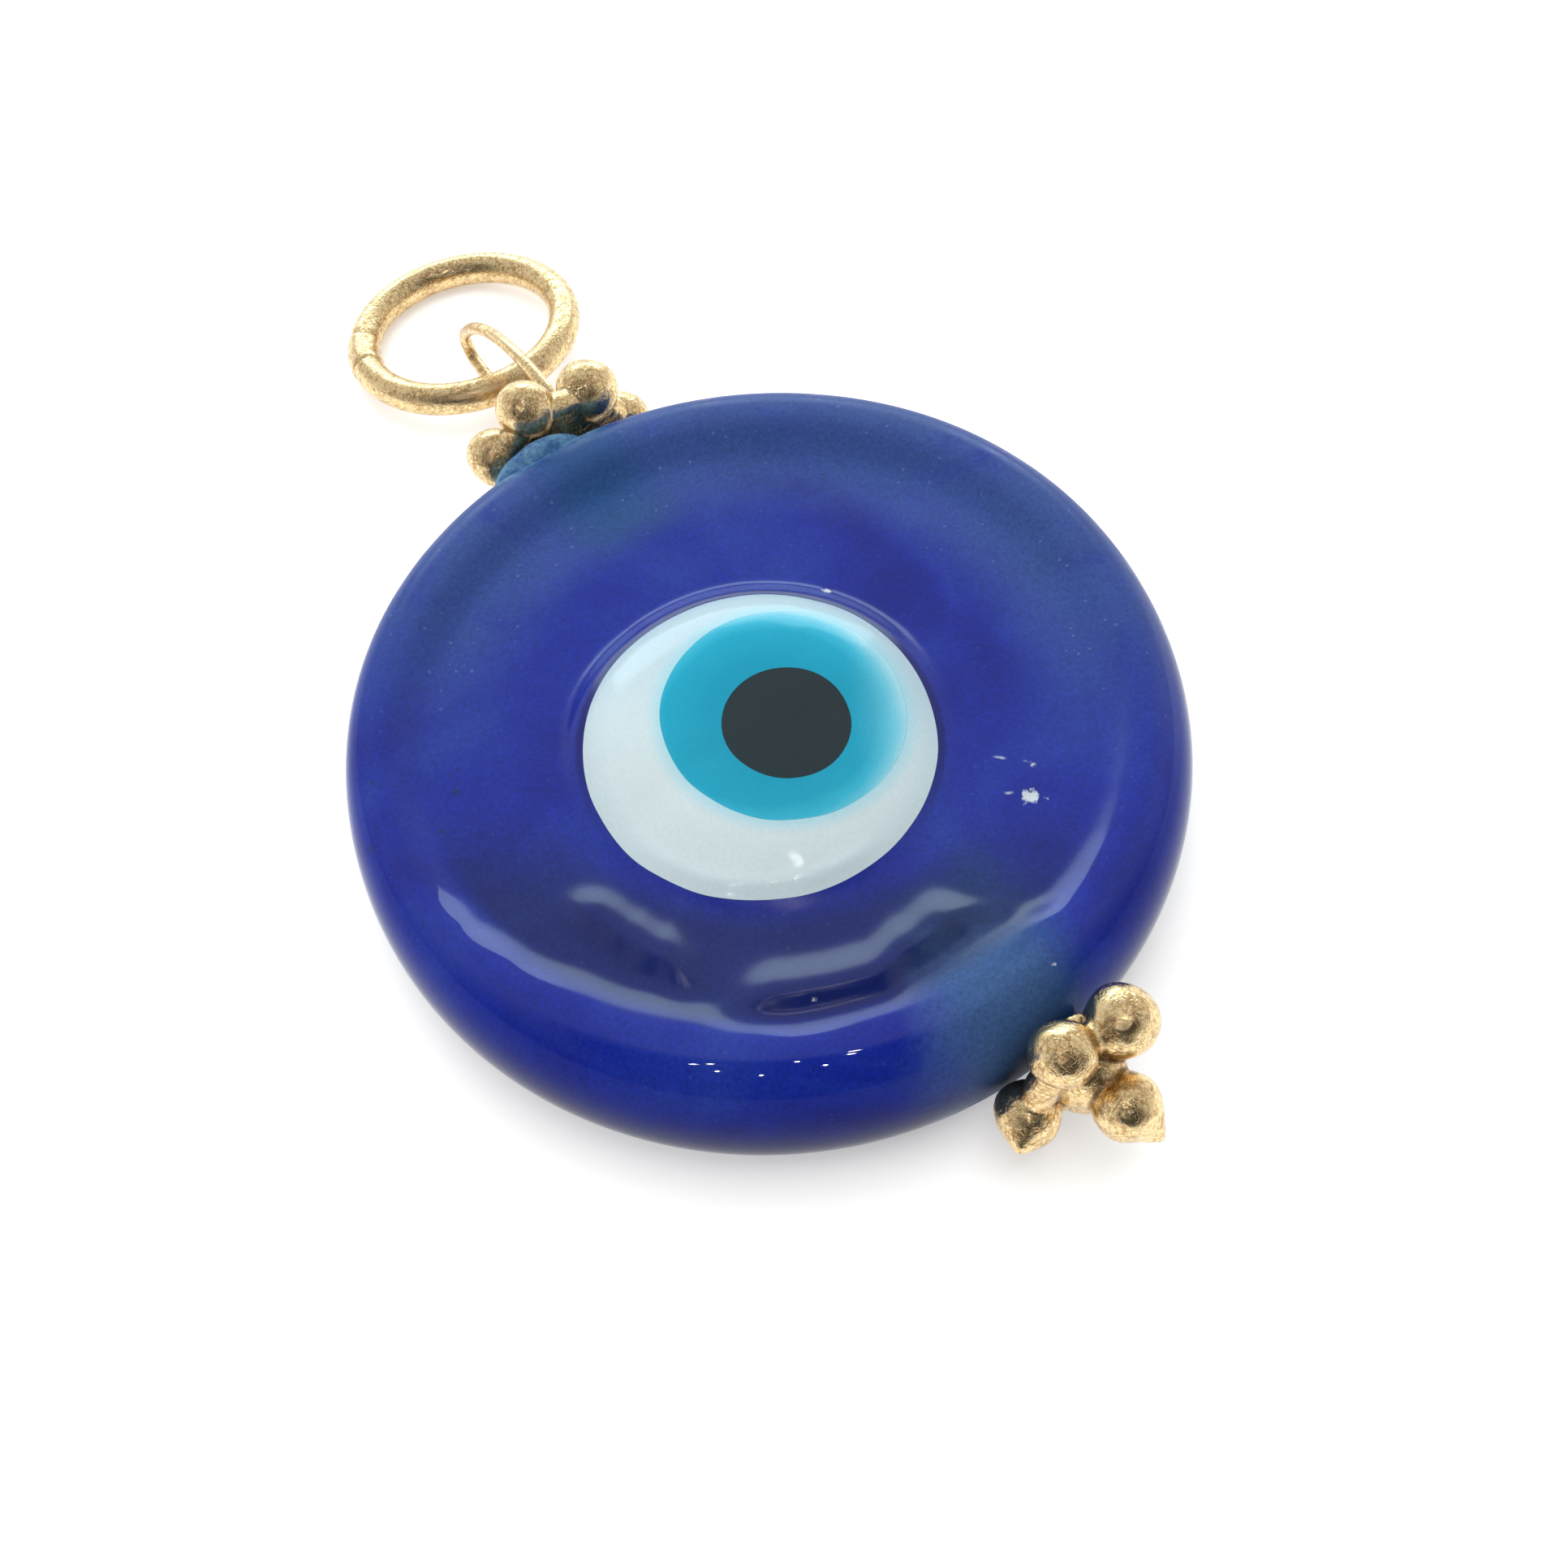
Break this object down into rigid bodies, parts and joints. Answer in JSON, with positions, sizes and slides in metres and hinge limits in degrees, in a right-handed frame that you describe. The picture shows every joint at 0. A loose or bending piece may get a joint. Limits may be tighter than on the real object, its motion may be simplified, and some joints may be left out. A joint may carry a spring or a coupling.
{
  "type": "evil eye pendant",
  "caption": "Round cobalt glass evil eye pendant on a gold wire pin, with granule ornaments, a wire eye and a jump ring for a chain.",
  "frame": {"origin": "middle of the glass disc's flat back", "axes": "+Z out of the eye, away from the flat back; +Y along the pin towards the jump ring"},
  "size_m": [0.0254, 0.0435, 0.0067],
  "materials": {
    "cobalt_glass": "glossy cobalt lampwork glass, faintly hazed by wear",
    "white_glass": "glossy opaque white glass",
    "turquoise_glass": "glossy turquoise glass, soft at its edge",
    "black_glass": "glossy near-black glass",
    "granulated_gold": "gold alloy granules with a fine grain and brown solder in the creases",
    "gold_wire": "gold alloy wire, softly polished with a fine grain"
  },
  "bodies": {
    "root": {"glass_body": "cobalt_glass", "eye_white": "white_glass", "eye_iris": "turquoise_glass", "eye_pupil": "black_glass", "top_cap": "granulated_gold", "head_pin": "granulated_gold", "jump_ring": "gold_wire"}
  },
  "joints": []
}
